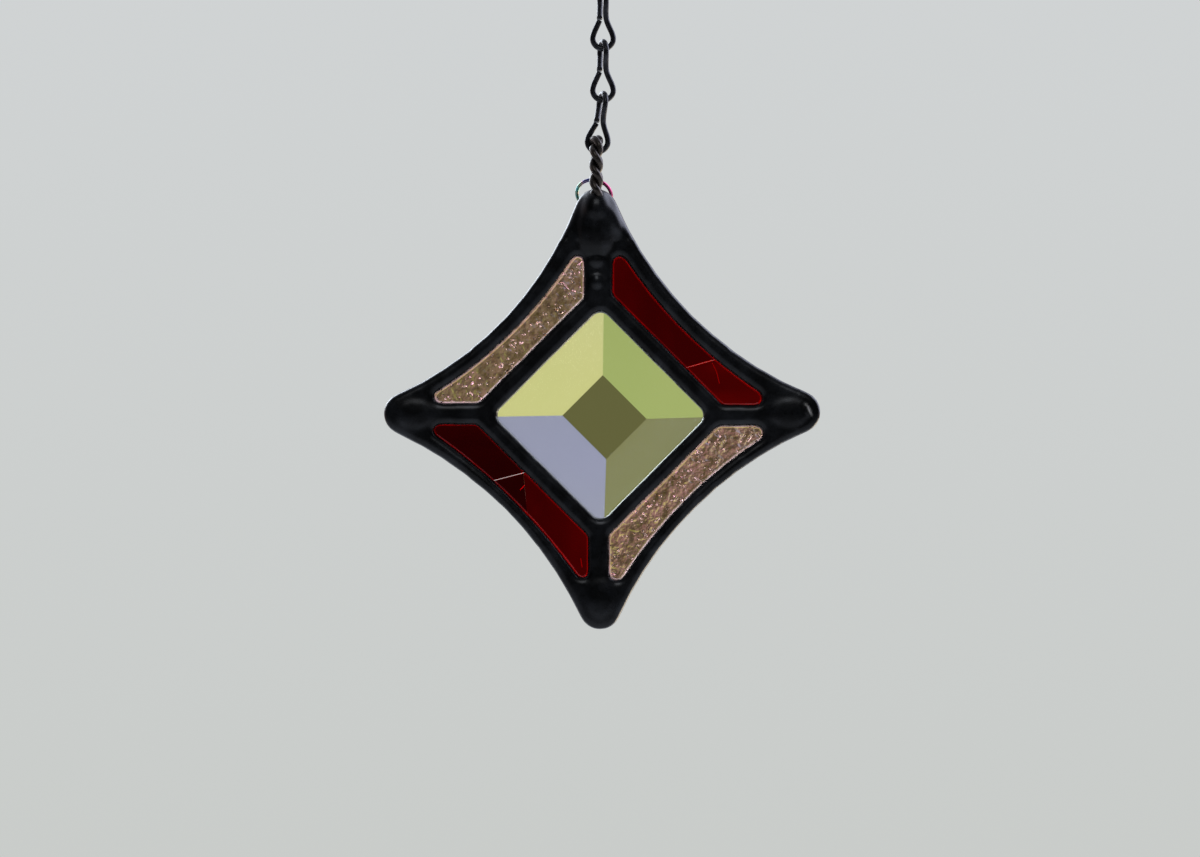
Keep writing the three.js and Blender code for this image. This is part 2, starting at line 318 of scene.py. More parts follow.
def black_patina(settings):
    """Black patina on solder: a copper sulphate bath turns bright tin-lead to a soft black that
    keeps a metal's sheen, clouded grey where it is thin, with pin-heads of wear."""
    material, tree, shader = new_material("black_patina_on_solder", Metallic=0.55, Roughness=0.4)
    place = add_node(tree, "ShaderNodeTexCoord")
    # Clouds of thinner patina are a few millimetres across.
    clouds = add_node(tree, "ShaderNodeTexNoise", {"Vector": place.outputs["Object"]},
                      Scale=1 / (5 * MM), Detail=4.0, Roughness=0.55)
    tone = add_node(tree, "ShaderNodeValToRGB", {"Fac": clouds.outputs["Fac"]},
                    ((0.42, settings.black), (0.72, settings.grey)))
    # Paler pin-heads where the patina is rubbed thin.
    grit = add_node(tree, "ShaderNodeTexNoise", {"Vector": place.outputs["Object"]},
                    Scale=1 / (0.7 * MM), Detail=2.0, Roughness=0.55)
    worn = add_node(tree, "ShaderNodeMapRange", {"Value": grit.outputs["Fac"]},
                    From_Min=0.73, From_Max=0.8)
    pinheads = add_node(tree, "ShaderNodeMix",
                        {"Factor": worn.outputs["Result"], COLOUR_A: tone.outputs["Color"],
                         COLOUR_B: linear("#3c3a38")}, data_type="RGBA")
    # Painted highlight: a pale patch of bare-looking tin-lead where the right point's scar glints.
    painted_glint = add_node(tree, "ShaderNodeAttribute", attribute_name="painted_glint")
    colour = add_node(tree, "ShaderNodeMix",
                      {"Factor": painted_glint.outputs["Fac"], COLOUR_A: pinheads.outputs[BLENDED],
                       COLOUR_B: linear("#b8b6b0")}, data_type="RGBA")
    tree.links.new(colour.outputs[BLENDED], shader.inputs["Base Color"])
    # The cotton-wiped surface is softly uneven over half a millimetre.
    wiped = add_node(tree, "ShaderNodeTexNoise", {"Vector": place.outputs["Object"]},
                     Scale=1 / (0.6 * MM), Detail=4.0, Roughness=0.55)
    bump = add_node(tree, "ShaderNodeBump", {"Height": wiped.outputs["Fac"]},
                    Strength=0.15, Distance=0.05 * MM)
    tree.links.new(bump.outputs["Normal"], shader.inputs["Normal"])
    sheen = add_node(tree, "ShaderNodeMapRange", {"Value": wiped.outputs["Fac"]},
                     To_Min=0.22, To_Max=0.38)
    tree.links.new(sheen.outputs["Result"], shader.inputs["Roughness"])
    return material


# ---- Settings ---------------------------------------------------------------------------


def length_setting(name, description, size):
    return FloatProperty(name=name, description=description, default=size,
                         subtype="DISTANCE", unit="LENGTH")


def colour_setting(name, description, colour):
    return FloatVectorProperty(name=name, description=description, default=linear(colour),
                               subtype="COLOR", size=4, min=0, max=1)


class SolderSettings(PropertyGroup):
    """Sizes and colours of the soldered net."""

    grain: length_setting("Grain", "Spacing of the net's surface points", 0.3 * MM)
    swell: length_setting("Swell", "Height of the hand-run solder's unevenness", 0.2 * MM)
    black: colour_setting("Black", "Thick patina", "#0b0c0d")
    grey: colour_setting("Grey", "Thin, cloudy patina", "#26282b")


class GlassSettings(PropertyGroup):
    """Sizes and colours of the glass."""

    ior: FloatProperty(name="IOR", description="Refractive index of soda-lime glass",
                       default=1.52, min=1.0, max=2.0)
    bevel_tint: colour_setting("Bevel Tint", "Colour of the bevelled square", "#f4f8f2")
    seedy_tint: colour_setting("Seedy Tint", "Colour of the clear strips", "#e6d3c8")
    ruby_tint: colour_setting("Ruby Tint", "Colour of the red strips", "#8a0002")
    # The colour of the copper foil's painted reflection along the strips' edges.
    copper: colour_setting("Copper", "Copper foil seen through the glass's edge", "#ffbfae")
    seeds: IntProperty(name="Seeds", description="Beads on each clear strip",
                       default=180, min=0, max=400)
    hammer: length_setting("Hammer", "Depth of the clear strips' hammered face", 0.17 * MM)
    glass_grain: length_setting("Glass Grain", "Spacing of the clear strips' surface points",
                                0.16 * MM)


class WireSettings(PropertyGroup):
    """Sizes and colours of the wires."""

    strand: length_setting("Strand", "Diameter of a hairpin strand", 1.65 * MM)
    lay: length_setting("Lay", "Length of one full twist of the hairpin", 7.5 * MM)
    link: length_setting("Link", "Diameter of the chain's wire", 1.35 * MM)
    ring: length_setting("Ring", "Diameter of the thin ring's wire", 0.85 * MM)
    bronze: colour_setting("Bronze", "Patina on the hairpin", "#4a433c")
    black: colour_setting("Black", "Coating of the chain", "#15161a")


class StageSettings(PropertyGroup):
    """The floor, the lights and the camera."""

    floor: colour_setting("Floor", "Colour of the floor", "#d9dbd8")
    distance: length_setting("Distance", "From the camera to the panel", 0.9)
    lens: FloatProperty(name="Lens", description="Focal length in millimetres", default=115.0)


# ---- Solder -----------------------------------------------------------------------------


def fatten(piece, amount):
    return edit(piece, lambda: bpy.ops.transform.shrink_fatten(value=amount, use_even_offset=True))


def front_sheet(node, name):
    """The front face of a glass strip as one flat face, to be inset and raised again."""
    piece = copy_of(node, name)
    edit(piece,
         lambda: bpy.ops.mesh.dissolve_limited(angle_limit=math.radians(1)),
         lambda: select_faces(piece, lambda centre, normal: normal.y > -0.9),
         lambda: bpy.ops.mesh.delete(type="FACE"))
    return piece


def strip_cutter(node, inset, front, back):
    """A prism through a strip's window: the glass less the width that the foil covers."""
    piece = front_sheet(node, "cutter")
    place = -SHEET_HALF

    def keep_inner():
        bpy.ops.mesh.select_mode(type="FACE")
        bpy.ops.mesh.inset(thickness=inset, use_even_offset=True)
        bpy.ops.mesh.select_all(action="INVERT")
        bpy.ops.mesh.delete(type="FACE")
        bpy.ops.mesh.select_all(action="SELECT")
        bpy.ops.transform.translate(value=(0, front - place, 0))
        bpy.ops.mesh.extrude_region_move(TRANSFORM_OT_translate={"value": (0, back - front, 0)})
        bpy.ops.mesh.select_all(action="SELECT")
        bpy.ops.mesh.normals_make_consistent(inside=False)

    return edit(piece, keep_inner)


def square_cutter(half, corner):
    """A prism through the square window, standing on a corner, its upright edges rounded."""
    depth = 20 * MM
    piece = new_primitive("cutter", bpy.ops.mesh.primitive_cube_add, size=1, location=PANEL)
    piece.scale = (2 * half, depth, 2 * half)
    settle(piece)

    def round_edges():
        bpy.ops.mesh.select_mode(type="EDGE")
        bpy.ops.mesh.select_all(action="DESELECT")
        bpy.ops.object.mode_set(mode="OBJECT")
        for edge in piece.data.edges:
            a, b = (piece.data.vertices[i].co for i in edge.vertices)
            edge.select = abs(a.y - b.y) > depth / 2
        bpy.ops.object.mode_set(mode="EDIT")
        bpy.ops.mesh.bevel(offset=corner, segments=6, affect="EDGES")
        bpy.ops.mesh.select_all(action="SELECT")
        bpy.ops.transform.rotate(value=math.radians(45), orient_axis="Y", center_override=PANEL)

    return edit(piece, round_edges)


def solder_drop(x, up, front, size, turn):
    """A drop of solder on the net: a ball pressed flat."""
    piece = new_primitive("drop", bpy.ops.mesh.primitive_uv_sphere_add, segments=24, ring_count=12,
                          radius=1, location=on_panel(x, up, front))
    piece.scale = [s * MM for s in size]
    piece.rotation_euler = (0, math.radians(turn), 0)
    return settle(piece)


def mark_points(piece, name, level):
    """Stores on each point of a piece a level between 0 and 1 for its material to read."""
    marks = piece.data.attributes.new(name, "FLOAT", "POINT")
    for vertex, value in zip(piece.data.vertices, marks.data):
        value.value = level(vertex.co)


def glint_patch(point):
    """The painted highlight on the front of the right point: 1 inside a slanting oval, 0 outside.
    """
    if point.y > 0:
        return 0
    offset = Matrix.Rotation(GLINT_SLANT, 3, "Y") @ (point - on_panel(*GLINT_PLACE))
    return min(1, max(0, 1.7 - math.hypot(offset.x / GLINT_HALF[0], offset.z / GLINT_HALF[1])))


# Drops of solder: where they sit, their half sizes across, through and up, and their turn.
DROPS = (
    # Over the feet of the hairpin, front and back.
    ((-1.0, 48.4, 2.4), (3.6, 3.2, 4.5), 0),
    ((-1.0, 49.4, -2.9), (2.6, 1.6, 2.5), 0),
    # The mound on the top point, its right flank, and the two runs that end below it.
    ((-1.0, 43.9, 0.9), (5.6, 4.1, 8.4), 0),
    ((2.4, 46.0, 2.0), (2.35, 2.6, 5.2), -27),
    ((-0.9, 36.6, 1.6), (2.5, 2.1, 2.6), 0),
    ((-0.9, 31.4, 1.5), (2.2, 2.1, 2.7), 0),
    # A scar on the right point's rim.
    ((48.4, 1.3, 2.6), (0.5, 1.0, 1.9), -14),
)


class SUNCATCHER_OT_solder_net(Operator):
    """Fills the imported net's glass slots, adds the drops, cuts the windows and softens it all."""

    bl_idname = "suncatcher.solder_net"
    bl_label = "Solder Net"

    def execute(self, context):
        settings = context.scene.suncatcher_solder
        net = copy_of("solder_net", "soldered_net")
        for node in (*STRIPS, "bevelled_square"):
            combine(net, fatten(copy_of(node, "filler"), SLOT_OVERLAP), "UNION")
        for place, size, turn in DROPS:
            combine(net, solder_drop(*place, size, turn), "UNION")
        for node in STRIPS:
            combine(net, strip_cutter(node, FRONT_LIP, -CUT_REACH, SHEET_HALF), "DIFFERENCE")
            combine(net, strip_cutter(node, BACK_LIP, 0, CUT_REACH), "DIFFERENCE")
        combine(net, square_cutter(WINDOW_HALF, WINDOW_CORNER), "DIFFERENCE")
        modify(net, "REMESH", mode="VOXEL", voxel_size=settings.grain, adaptivity=0.0)
        modify(net, "SMOOTH", factor=0.5, iterations=5)

        def even_out(name, test, rounds):
            heap = net.vertex_groups.new(name=name)
            heap.add([v.index for v in net.data.vertices if test(v.co - PANEL)], 1.0, "REPLACE")
            modify(net, "SMOOTH", factor=0.5, iterations=rounds, vertex_group=name)

        # The four points are heaped smoother than the rest, the top one most.
        even_out("side_heaps", lambda place: place.x < RIM_START and place.z < HEAP_CEILING
                 and place.length > HEAP_REACH, 25)
        even_out("top_heap", lambda place: place.z > TOP_HEAP_START, 60)
        ripple(net, 9 * MM, settings.swell)
        ripple(net, 2.2 * MM, settings.swell * 0.2)
        modify(net, "SMOOTH", factor=0.5, iterations=2)
        # The flattest stretches need fewer points.
        modify(net, "DECIMATE", ratio=0.7)
        smooth(net)
        # Marks where the painted highlight on the right point goes.
        mark_points(net, "painted_glint", glint_patch)
        finish_piece(net, black_patina(settings), ["solder_net"])
        return {"FINISHED"}


# ---- Glass ------------------------------------------------------------------------------


def pane(node, name):
    """A strip of sheet glass, ground to a slope where it meets the foil on each face."""
    piece = front_sheet(node, name)

    def thicken():
        bpy.ops.transform.translate(value=(0, FRONT_FALL, 0))
        bpy.ops.mesh.extrude_region_move(
            TRANSFORM_OT_translate={"value": (0, 2 * SHEET_HALF - FRONT_FALL - BACK_FALL, 0)})
        bpy.ops.mesh.select_all(action="SELECT")
        bpy.ops.mesh.normals_make_consistent(inside=False)

    def slope(side, fall):
        select_faces(piece, lambda centre, normal: normal.y * side > 0.9)
        bpy.ops.mesh.inset(thickness=FOIL_COVER - EDGE_BARE, use_even_offset=True)
        bpy.ops.mesh.inset(thickness=EDGE_WIDTH + EDGE_BARE, depth=fall, use_even_offset=True)

    return edit(piece, thicken, lambda: slope(-1, FRONT_FALL), lambda: slope(1, BACK_FALL))


def edge_share(point):
    """How far down the sloped edge a point of a pane is: 0 on its face, 1 at the foil."""
    fall = FRONT_FALL if point.y < 0 else BACK_FALL
    return min(1, max(0, (SHEET_HALF - abs(point.y)) / fall * 1.4 - 0.3))


class SUNCATCHER_OT_bevelled_square(Operator):
    """Grinds the bevelled square's flat a little longer one way and polishes the glass."""

    bl_idname = "suncatcher.bevelled_square"
    bl_label = "Bevelled Square"

    def execute(self, context):
        settings = context.scene.suncatcher_glass
        # Polished plate glass: crisp ridges, no texture, and a breath of green.
        material, tree, shader = new_material(
            "clear_bevelled_plate_glass", Roughness=0.0, IOR=settings.ior, Transmission_Weight=1.0)
        place = add_node(tree, "ShaderNodeTexCoord")
        # Its tint drifts by a shade over two centimetres.
        drift = add_node(tree, "ShaderNodeTexNoise", {"Vector": place.outputs["Object"]},
                         Scale=1 / (20 * MM), Detail=1.0, Roughness=0.55)
        tone = add_node(tree, "ShaderNodeValToRGB", {"Fac": drift.outputs["Fac"]},
                        ((0.0, linear("#eef5ea")), (1.0, settings.bevel_tint)))
        tree.links.new(tone.outputs["Color"], shader.inputs["Base Color"])
        square = copy_of("bevelled_square", "clear_bevelled_square")
        middle = box_centre("bevelled_square")
        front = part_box("bevelled_square")[0][1]
        for vertex in square.data.vertices:
            if vertex.co.y < front + 0.1 * MM:
                x, z = vertex.co.x - middle.x, vertex.co.z - middle.z
                vertex.co.x += FLAT_SHIFT[0] - FLAT_STRETCH * z
                vertex.co.z += FLAT_SHIFT[1] - FLAT_STRETCH * x
        finish_piece(square, material, ["bevelled_square"])
        return {"FINISHED"}


# Large seeds and rolled-in dashes of the clear strips: how far right and up from the panel's
# centre, half length, half width, and the turn of the long way from level.
LARGE_SEEDS = (
    (-10.2, 24.8, 0.75, 0.5, 40), (-9.1, 24.1, 0.65, 0.38, 35), (-4.9, 35.7, 1.1, 0.16, 40),
    (-8.4, 33.2, 1.0, 0.3, -20), (-7.0, 32.2, 0.8, 0.26, -10), (-8.1, 30.4, 1.4, 0.2, -50),
    (-30.0, 7.6, 0.55, 0.3, 60), (-28.3, 7.2, 0.6, 0.26, 25), (-31.9, 6.8, 0.9, 0.22, 10),
    (-18.5, 17.0, 0.7, 0.24, 30), (-14.8, 21.7, 0.6, 0.25, 55),
    (19.0, -19.7, 0.55, 0.5, 20), (14.1, -18.9, 0.5, 0.4, 30), (15.4, -21.8, 0.75, 0.22, -55),
    (11.7, -21.3, 0.9, 0.24, 45), (22.8, -14.9, 1.3, 0.26, -30), (22.9, -8.6, 0.8, 0.3, -60),
    (25.6, -6.3, 0.5, 0.26, 50), (35.0, -5.4, 1.5, 0.22, 55), (13.6, -24.3, 0.6, 0.25, 40),
    (10.6, -28.0, 0.7, 0.3, -35), (2.9, -33.5, 0.4, 0.3, 30), (27.3, -10.9, 0.5, 0.3, 10),
)
# The half width of the small ones, in millimetres.
SMALL_SEED = (0.13, 0.3)


def seed(spot, along, across, turn):
    """A bead half sunk in the front of a clear strip: a ball that bends the light on its own."""
    bead = new_primitive("bead", bpy.ops.mesh.primitive_ico_sphere_add, subdivisions=2, radius=1,
                         location=spot)
    bead.scale = (along, across * 0.8, across)
    bead.rotation_euler = (0, -turn, 0)
    return settle(bead)


class SUNCATCHER_OT_seedy_strips(Operator):
    """Rolls the two clear strips: hammered on the face and sprinkled with glass beads."""

    bl_idname = "suncatcher.seedy_strips"
    bl_label = "Seedy Clear Strips"

    def execute(self, context):
        settings = context.scene.suncatcher_glass
        material, tree, shader = new_material(
            "seedy_hammered_clear_glass", Roughness=0.02, IOR=settings.ior, Transmission_Weight=1.0)
        place = add_node(tree, "ShaderNodeTexCoord")
        # The sheet is streaked straw and pink every couple of millimetres.
        streaks = add_node(tree, "ShaderNodeTexNoise", {"Vector": place.outputs["Object"]},
                           Scale=1 / (2.6 * MM), Detail=5.0, Roughness=0.65)
        tone = add_node(tree, "ShaderNodeValToRGB", {"Fac": streaks.outputs["Fac"]},
                        ((0.4, linear("#b09c86")), (0.5, settings.seedy_tint),
                         (0.62, linear("#ffd8e0"))))
        # Painted reflection: the copper foil under the sloped edge is painted into the glass's
        # colour there.
        light = add_node(tree, "ShaderNodeAttribute", attribute_name="light")
        tint_and_painted_light = add_node(tree, "ShaderNodeMix",
                        {"Factor": light.outputs["Fac"], COLOUR_A: tone.outputs["Color"],
                         COLOUR_B: settings.copper}, data_type="RGBA")
        tree.links.new(tint_and_painted_light.outputs[BLENDED], shader.inputs["Base Color"])
        # The roller's grain is nearly a millimetre apart.
        grain = add_node(tree, "ShaderNodeTexNoise", {"Vector": place.outputs["Object"]},
                         Scale=1 / (0.9 * MM), Detail=2.0, Roughness=0.55)
        bump = add_node(tree, "ShaderNodeBump", {"Height": grain.outputs["Fac"]},
                        Strength=0.36, Distance=0.12 * MM)
        tree.links.new(bump.outputs["Normal"], shader.inputs["Normal"])
        for index, node in enumerate(CLEAR_STRIPS):
            glass = pane(node, node.replace("strip", "hammered_strip"))
            low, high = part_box(node)
            chance = random.Random(11 + index)
            beads = []
            for x, up, along, across, turn in LARGE_SEEDS:
                spot = on_panel(x, up, SHEET_HALF / MM)
                if low[0] < spot.x < high[0] and low[2] < spot.z < high[2]:
                    beads.append(seed(spot, along * MM, across * MM, math.radians(turn)))
            inside = front_sheet(node, "inside")
            context.view_layer.update()
            while len(beads) < settings.seeds:
                x, z = (chance.uniform(low[axis], high[axis]) for axis in (0, 2))
                spot = Vector((x, -SHEET_HALF, z))
                nearest = inside.closest_point_on_mesh(spot)[1]
                if (nearest - spot).length > 0.01 * MM:
                    continue
                size = chance.uniform(*SMALL_SEED) * MM
                stretch = chance.uniform(1, 1.6)
                beads.append(seed(spot, size * stretch, size, chance.uniform(0.4, 1.4)))
            bpy.data.objects.remove(inside)
            modify(glass, "REMESH", mode="VOXEL", voxel_size=settings.glass_grain, adaptivity=0.0)
            modify(glass, "SMOOTH", factor=0.5, iterations=2)
            # The light level marks the sloped edge, where the foil's painted reflection goes.
            mark_points(glass, "light", edge_share)
            front = glass.vertex_groups.new(name="front")
            face = [v.index for v in glass.data.vertices if v.co.y < -SHEET_HALF + 0.3 * MM]
            front.add(face, 1.0, "REPLACE")
            ripple(glass, 3.2 * MM, settings.hammer, direction="Y", group="front")
            ripple(glass, 0.9 * MM, settings.hammer * 0.5, direction="Y", group="front")
            glass = smooth(join([glass, *beads], glass.name))
            finish_piece(glass, material, [node])
        return {"FINISHED"}


# Cracks and scratches of the red strips: the node, two ends from the panel's centre, the width of
# the open gap and the width of the groove along it, all in millimetres.
CRACKS = (
    ("red_strip_upper_right", (20.1, 11.2), (27.8, 13.4), 0.03, 0.34),
    ("red_strip_upper_right", (26.2, 12.3), (27.2, 10.3), 0.0, 0.16),
    ("red_strip_upper_right", (27.2, 10.3), (27.9, 7.5), 0.0, 0.16),
    ("red_strip_lower_left", (-25.6, -15.4), (-17.8, -13.4), 0.1, 0.3),
    ("red_strip_lower_left", (-18.1, -12.8), (-17.2, -22.6), 0.012, 0.0),
    ("red_strip_lower_left", (-18.8, -17.5), (-17.7, -16.3), 0.0, 0.14),
    ("red_strip_lower_left", (-4.6, -33.5), (-4.3, -35.6), 0.0, 0.24),
)
# Painted light and shade on the red strips: the level painted on each whole strip, that of its
# part to the right of one crack, going from the crack's first end to its second, and which crack
# of the strip's that is.
BREAKS = {
    "red_strip_upper_right": (0.36, 0.46, 0),
    "red_strip_lower_left": (0.4, 0.1, 1),
}
# The blade that opens a gap goes right through the glass.
BLADE_DEPTH = 8 * MM


def crack_cutter(start, end, gap, groove):
    """A square bar on edge along the front of the glass, and a thin blade right through it."""
    a, b = on_panel(*start), on_panel(*end)
    heading = math.atan2(b.z - a.z, b.x - a.x)
    bars = []
    if groove:
        bars.append((-SHEET_HALF, (groove / math.sqrt(2) * MM,) * 2, math.radians(45)))
    if gap:
        bars.append((0, (BLADE_DEPTH, gap * MM), 0))
    cutters = []
    for front, (deep, wide), roll in bars:
        bar = new_primitive("bar", bpy.ops.mesh.primitive_cube_add, size=1)
        bar.scale = ((b - a).length, deep, wide)
        settle(bar)
        bar.rotation_euler = (roll, 0, 0)
        settle(bar)
        bar.rotation_euler = (0, -heading, 0)
        bar.location = (a + b) / 2 + Vector((0, front, 0))
        cutters.append(settle(bar))
    return cutters


def side_of(point, start, end):
    """Positive to the left of a line drawn on the panel from start to end, seen from the front."""
    a, b = on_panel(*start), on_panel(*end)
    return (b.x - a.x) * (point.z - a.z) - (b.z - a.z) * (point.x - a.x)


class SUNCATCHER_OT_ruby_strips(Operator):
    """Cuts the two red strips from ruby glass and cracks them."""

    bl_idname = "suncatcher.ruby_strips"
    bl_label = "Ruby Strips"

    def execute(self, context):
        settings = context.scene.suncatcher_glass
        # Smooth cathedral glass, red all through: deep where it is seen against shade, and
        # bright where its edge gathers the light.
        material, tree, shader = new_material(
            "ruby_cathedral_glass", Roughness=0.01, IOR=settings.ior, Transmission_Weight=1.0)
        light = add_node(tree, "ShaderNodeAttribute", attribute_name="light")
        tint_and_painted_light = add_node(tree, "ShaderNodeValToRGB", {"Fac": light.outputs["Fac"]},
                        ((0.0, linear("#3c0001")), (0.4, settings.ruby_tint),
                         (1.0, linear("#ff1a0c"))))
        tree.links.new(tint_and_painted_light.outputs["Color"], shader.inputs["Base Color"])
        place = add_node(tree, "ShaderNodeTexCoord")
        # Hand-rolled sheet is gently wavy over a centimetre.
        wave = add_node(tree, "ShaderNodeTexNoise", {"Vector": place.outputs["Object"]},
                        Scale=1 / (9 * MM), Detail=1.0, Roughness=0.55)
        bump = add_node(tree, "ShaderNodeBump", {"Height": wave.outputs["Fac"]},
                        Strength=0.3, Distance=0.5 * MM)
        tree.links.new(bump.outputs["Normal"], shader.inputs["Normal"])
        for node in RED_STRIPS:
            glass = pane(node, node.replace("strip", "ruby_strip"))
            cracks = [crack[1:] for crack in CRACKS if crack[0] == node]
            for crack in cracks:
                for cutter in crack_cutter(*crack):
                    combine(glass, cutter, "DIFFERENCE")
            plain, painted_level_beyond, crack = BREAKS[node]

            # Painted shade or light: the part beyond the crack takes its own level, the sloped edge
            # more light.
            def level(point):
                beyond = side_of(point, *cracks[crack][:2]) < 0
                return max(painted_level_beyond if beyond else plain, edge_share(point))

            mark_points(glass, "light", level)
            finish_piece(glass, material, [node])
        return {"FINISHED"}


# ---- Wire -------------------------------------------------------------------------------


class SUNCATCHER_OT_twisted_hairpin(Operator):
    """Winds two strands of wire round each other along a hairpin."""

    bl_idname = "suncatcher.twisted_hairpin"
    bl_label = "Twisted Hairpin"

    def execute(self, context):
        settings = context.scene.suncatcher_wire
        low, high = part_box("twisted_hairpin")
        foot = PANEL.z + HAIRPIN_FOOT
        leg = PANEL.z + HAIRPIN_TOP - HAIRPIN_REACH - foot
        bend = math.pi * HAIRPIN_REACH
        whole = 2 * leg + bend
        centre_x = (low[0] + high[0]) / 2
        apart = settings.strand * 0.49
        steps = 220
        strands = []
        for index in range(2):
            route = []
            for i in range(steps + 1):
                gone = whole * i / steps
                turn = min(max((gone - leg) / bend, 0), 1) * math.pi
                rise = min(gone, leg) - max(0, gone - leg - bend)
                outward = Vector((0, -math.cos(turn), math.sin(turn)))
                angle = math.pi * index - 2 * math.pi * gone / settings.lay
                point = Vector((centre_x, 0, foot + rise))
                point += outward * (HAIRPIN_REACH + apart * math.cos(angle))
                point.x += apart * math.sin(angle)
                route.append(point)
            strands.append(tube("strand", route, settings.strand / 2, sides=16))
        hairpin = smooth(join(strands, "twisted_wire_hairpin"))
        # Tinned copper wire gone brown-black in the patina, clouded paler every millimetre or so.
        material, tree, shader = new_material(
            "brown_patina_on_tinned_copper_wire", Metallic=0.7, Roughness=0.38)
        place = add_node(tree, "ShaderNodeTexCoord")
        clouds = add_node(tree, "ShaderNodeTexNoise", {"Vector": place.outputs["Object"]},
                          Scale=1 / (1.2 * MM), Detail=4.0, Roughness=0.55)
        tone = add_node(tree, "ShaderNodeValToRGB", {"Fac": clouds.outputs["Fac"]},
                        ((0.35, linear("#1b1917")), (0.7, settings.bronze)))
        tree.links.new(tone.outputs["Color"], shader.inputs["Base Color"])
        bump = add_node(tree, "ShaderNodeBump", {"Height": clouds.outputs["Fac"]},
                        Strength=0.3, Distance=0.06 * MM)
        tree.links.new(bump.outputs["Normal"], shader.inputs["Normal"])
        finish_piece(hairpin, material, ["twisted_hairpin"])
        return {"FINISHED"}


class SUNCATCHER_OT_thin_ring(Operator):
    """Bends the thin ring behind the top point and gives it its heat tints."""

    bl_idname = "suncatcher.thin_ring"
    bl_label = "Thin Ring"

    def execute(self, context):
        settings = context.scene.suncatcher_wire
        turn = Matrix.Rotation(-RING_ROLL, 3, "Y") @ Matrix.Rotation(RING_LEAN, 3, "X")
        centre = on_panel(*RING_CENTRE)
        steps = 72
        angles = [2 * math.pi * i / steps for i in range(steps)]
        route = [centre + turn @ Vector((math.cos(angle), 0, math.sin(angle))) * RING_RADIUS * MM
                 for angle in angles]
        ring = smooth(tube("heat_tinted_ring", route, settings.ring / 2, sides=14, closed=True))
        # Steel wire drawn through a flame: teal, green, rose, blue and purple oxide in bands.
        material, tree, shader = new_material(
            "flame_tinted_steel_wire", Metallic=1.0, Roughness=0.25)
        place = add_node(tree, "ShaderNodeTexCoord")
        along = add_node(tree, "ShaderNodeSeparateXYZ", {"Vector": place.outputs["Object"]})
        left, right = (corner.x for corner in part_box("thin_ring"))
        reach = add_node(tree, "ShaderNodeMapRange", {"Value": along.outputs["X"]},
                         From_Min=left, From_Max=right)
        # The flame licked unevenly, in tongues a couple of millimetres long.
        tongues = add_node(tree, "ShaderNodeTexNoise", {"Vector": place.outputs["Object"]},
                           Scale=1 / (2 * MM), Detail=1.0, Roughness=0.55)
        uneven = add_node(tree, "ShaderNodeMath",
                          {0: tongues.outputs["Fac"], 1: 0.6, 2: reach.outputs["Result"]},
                          operation="MULTIPLY_ADD")
        tone = add_node(tree, "ShaderNodeValToRGB", {"Fac": uneven.outputs["Value"]},
                        [(position, linear(colour)) for position, colour in HEAT_TINTS])
        tree.links.new(tone.outputs["Color"], shader.inputs["Base Color"])
        finish_piece(ring, material, ["thin_ring"])
        return {"FINISHED"}


def link_route(wire):
    """The route of one link's wire about its own middle: from the cut round the lower eye, up
    past the waist and round the upper eye, to the cut again."""
    radius = (LINK_WIDTH - wire) / 2
    eye_centre = (LINK_LENGTH - LINK_WIDTH) / 2

    def eye(direction, turn):
        spin = Matrix.Rotation(turn, 3, "Z")
        for i in range(9):
            angle = direction * EYE_BEND * (1 - i / 4)
            yield spin @ Vector((radius * math.sin(angle), 0,
                                 direction * (eye_centre + radius * math.cos(angle))))

    return [Vector((-WAIST_HALF, 0, -CUT_GAP / 2)), *eye(-1, 0),
            Vector((WAIST_HALF, -WAIST_HALF / 3, 0)), *eye(1, EYE_TURN),
            Vector((-WAIST_HALF, WAIST_HALF / 2, CUT_GAP / 2))]


def smooth_route(points, per_span):
    """A centripetal Catmull-Rom curve through points."""
    first = 2 * points[0] - points[1]
    last = 2 * points[-1] - points[-2]
    padded = [first, *points, last]
    route = []
    for p0, p1, p2, p3 in zip(padded, padded[1:], padded[2:], padded[3:]):
        t0 = 0
        t1 = t0 + math.sqrt((p1 - p0).length)
        t2 = t1 + math.sqrt((p2 - p1).length)
        t3 = t2 + math.sqrt((p3 - p2).length)
        for i in range(per_span):
            t = t1 + (t2 - t1) * i / per_span
            a1 = p0.lerp(p1, (t - t0) / (t1 - t0))
            a2 = p1.lerp(p2, (t - t1) / (t2 - t1))
            a3 = p2.lerp(p3, (t - t2) / (t3 - t2))
            b1 = a1.lerp(a2, (t - t0) / (t2 - t0))
            b2 = a2.lerp(a3, (t - t1) / (t3 - t1))
            route.append(b1.lerp(b2, (t - t1) / (t2 - t1)))
    return [*route, points[-1]]


